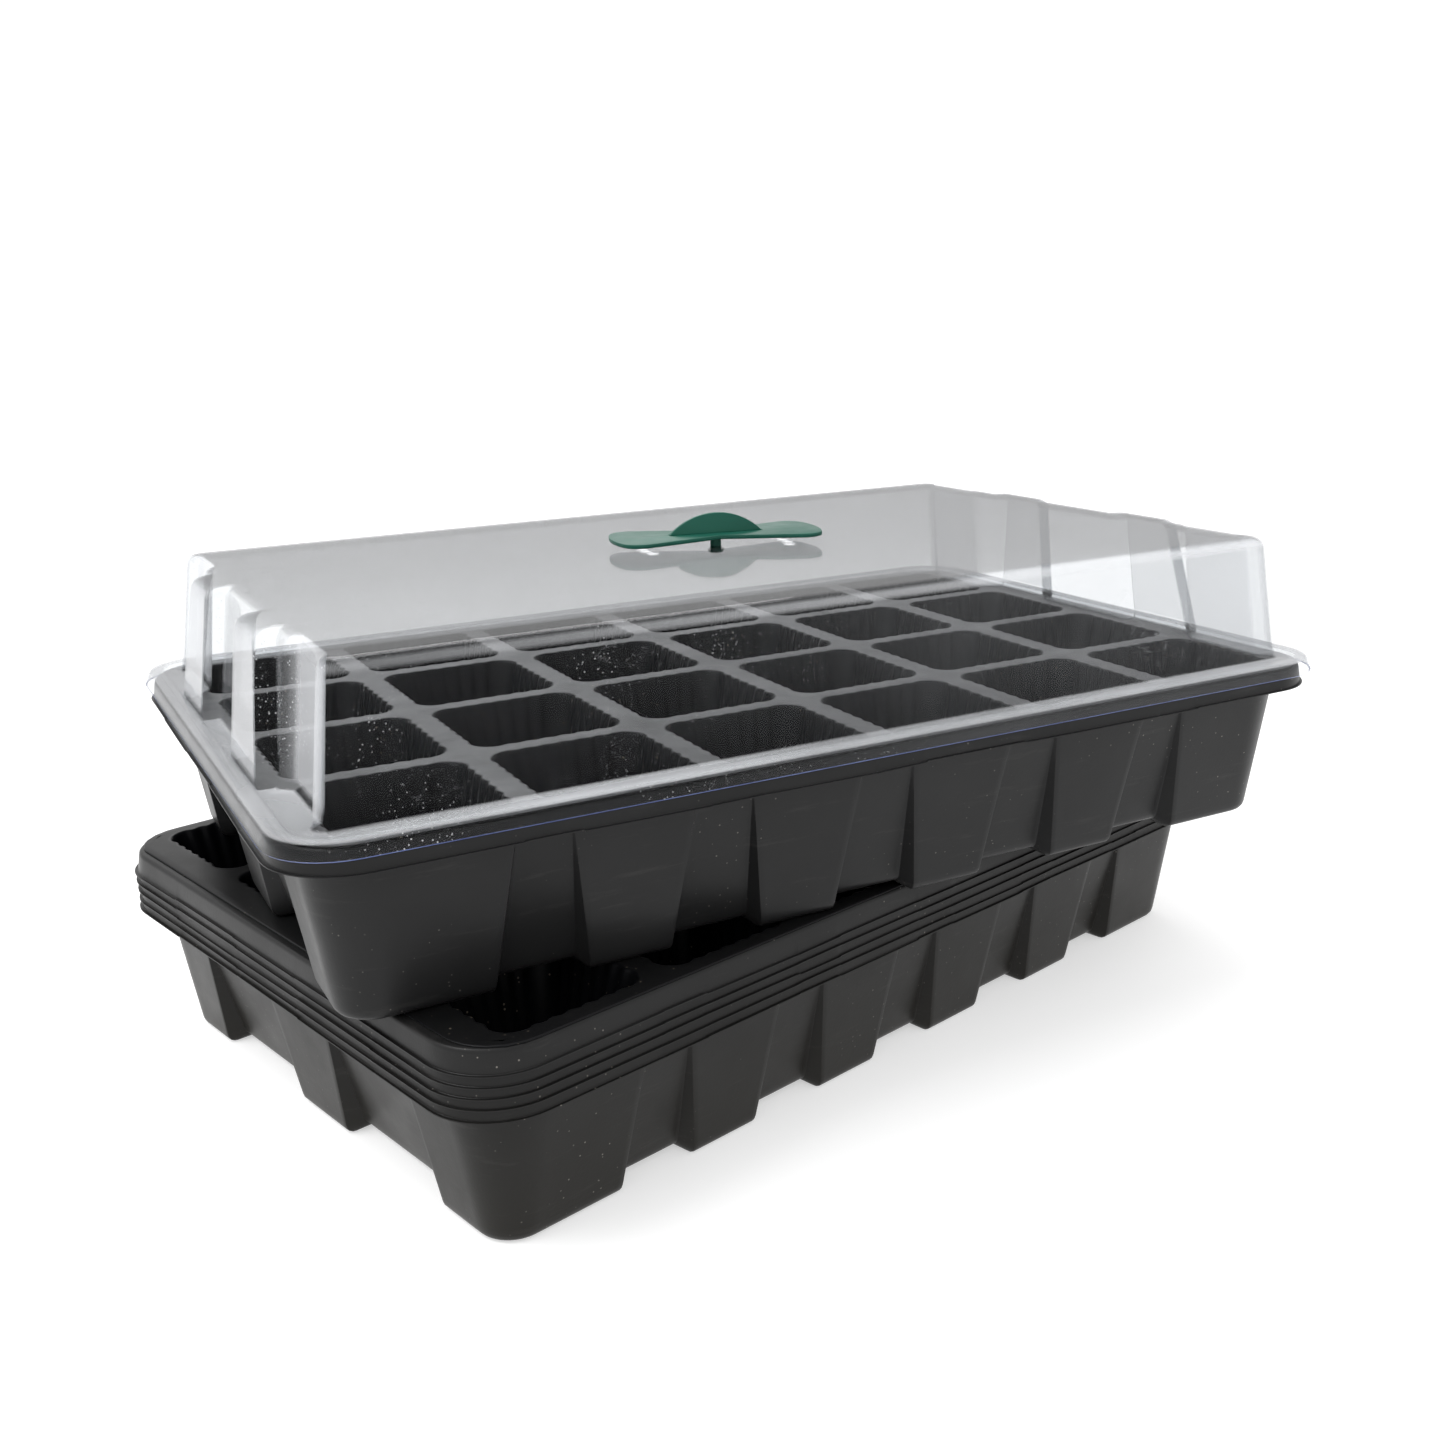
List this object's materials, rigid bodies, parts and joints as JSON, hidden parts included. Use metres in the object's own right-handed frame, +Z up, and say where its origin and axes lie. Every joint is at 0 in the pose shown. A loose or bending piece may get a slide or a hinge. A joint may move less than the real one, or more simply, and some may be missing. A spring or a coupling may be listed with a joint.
{
  "type": "humidity dome tray",
  "caption": "Propagation set: clear vented dome over a black cell insert in a drip tub, set aslant on a nested stack of spare tubs and an insert.",
  "frame": {"origin": "on the ground at the middle of the lower stack, which is the middle of the whole object's outline", "axes": "+X along the upper tub's length, towards the end that is on the right when the thumb grip's long side faces the viewer, +Y across it to the back, +Z up"},
  "size_m": [0.4176, 0.3176, 0.1874],
  "materials": {
    "tub": "satin thermoformed",
    "insert": "dull thermoformed",
    "dome": "clear thermoformed sheet, slightly hazy",
    "vent": "moulded, slightly translucent"
  },
  "bodies": {
    "tub_1": {"tub_1": "tub"},
    "tub_2": {"tub_2": "tub"},
    "tub_3": {"tub_3": "tub"},
    "tub_4": {"tub_4": "tub"},
    "tub_5": {"tub_5": "tub"},
    "insert_stack": {"insert_stack": "insert"},
    "tub_upper": {"tub_upper": "tub"},
    "insert_upper": {"insert_upper": "insert"},
    "dome": {"dome": "dome"},
    "vent": {"vent": "vent"}
  },
  "joints": [
    {"name": "tub_2_lift", "type": "slide", "parent": "tub_1", "child": "tub_2", "axis": [0, 0, 1], "range_m": [0, 0.12]},
    {"name": "tub_3_lift", "type": "slide", "parent": "tub_2", "child": "tub_3", "axis": [0, 0, 1], "range_m": [0, 0.12]},
    {"name": "tub_4_lift", "type": "slide", "parent": "tub_3", "child": "tub_4", "axis": [0, 0, 1], "range_m": [0, 0.12]},
    {"name": "tub_5_lift", "type": "slide", "parent": "tub_4", "child": "tub_5", "axis": [0, 0, 1], "range_m": [0, 0.12]},
    {"name": "insert_stack_lift", "type": "slide", "parent": "tub_5", "child": "insert_stack", "axis": [0, 0, 1], "range_m": [0, 0.1]},
    {"name": "tub_upper_lift", "type": "slide", "parent": "insert_stack", "child": "tub_upper", "axis": [0, 0, 1], "range_m": [0, 0.15]},
    {"name": "insert_upper_lift", "type": "slide", "parent": "tub_upper", "child": "insert_upper", "axis": [0, 0, 1], "range_m": [0, 0.1]},
    {"name": "dome_lift", "type": "slide", "parent": "insert_upper", "child": "dome", "axis": [0, 0, 1], "range_m": [0, 0.12]},
    {"name": "vent_turn", "type": "hinge", "parent": "dome", "child": "vent", "pos_m": [-0.0029, -0.0212, 0.1752], "axis": [0, 0, 1], "continuous": true}
  ]
}
